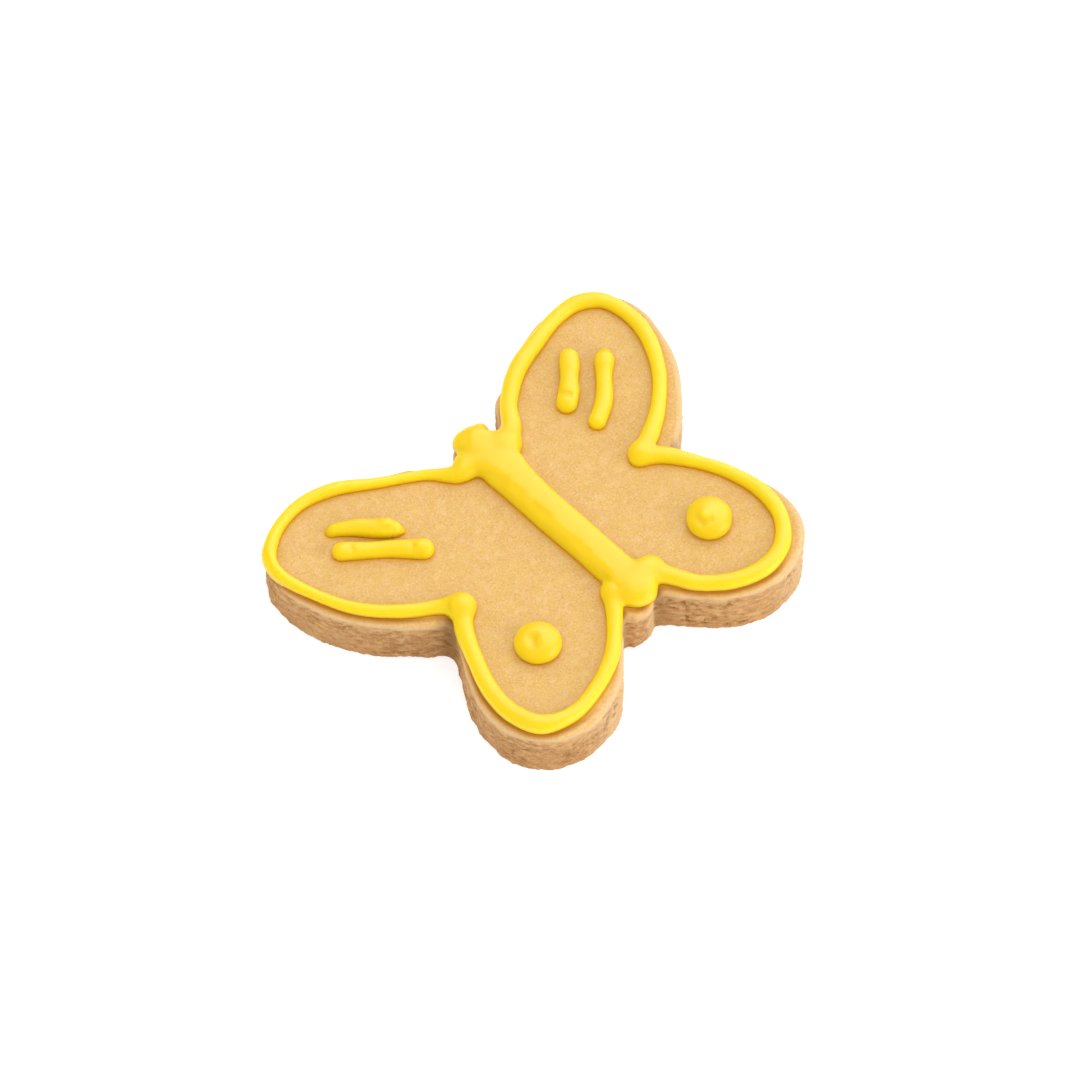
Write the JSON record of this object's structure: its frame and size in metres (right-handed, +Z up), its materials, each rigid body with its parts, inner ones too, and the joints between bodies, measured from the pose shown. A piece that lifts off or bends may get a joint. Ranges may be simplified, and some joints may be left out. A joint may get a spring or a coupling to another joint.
{
  "type": "dog biscuit",
  "caption": "Butterfly-shaped baked dog biscuit with hand-piped yellow icing: wing outlines, a body bar, dashes and dots.",
  "frame": {"origin": "centre of the base on the surface that the biscuit lies on", "axes": "+Z up through the thickness, +Y towards the butterfly's head, X across the wings"},
  "size_m": [0.081, 0.0646, 0.0137],
  "materials": {
    "baked_dough": "matt, sandy, pale golden baked dough",
    "icing": "satin, dried yellow icing"
  },
  "bodies": {
    "root": {"biscuit": "baked_dough", "icing_outline": "icing", "icing_dash_left_front": "icing", "icing_dash_left_back": "icing", "icing_dash_right_front": "icing", "icing_dash_right_back": "icing", "icing_dot_left": "icing", "icing_dot_right": "icing"}
  },
  "joints": []
}
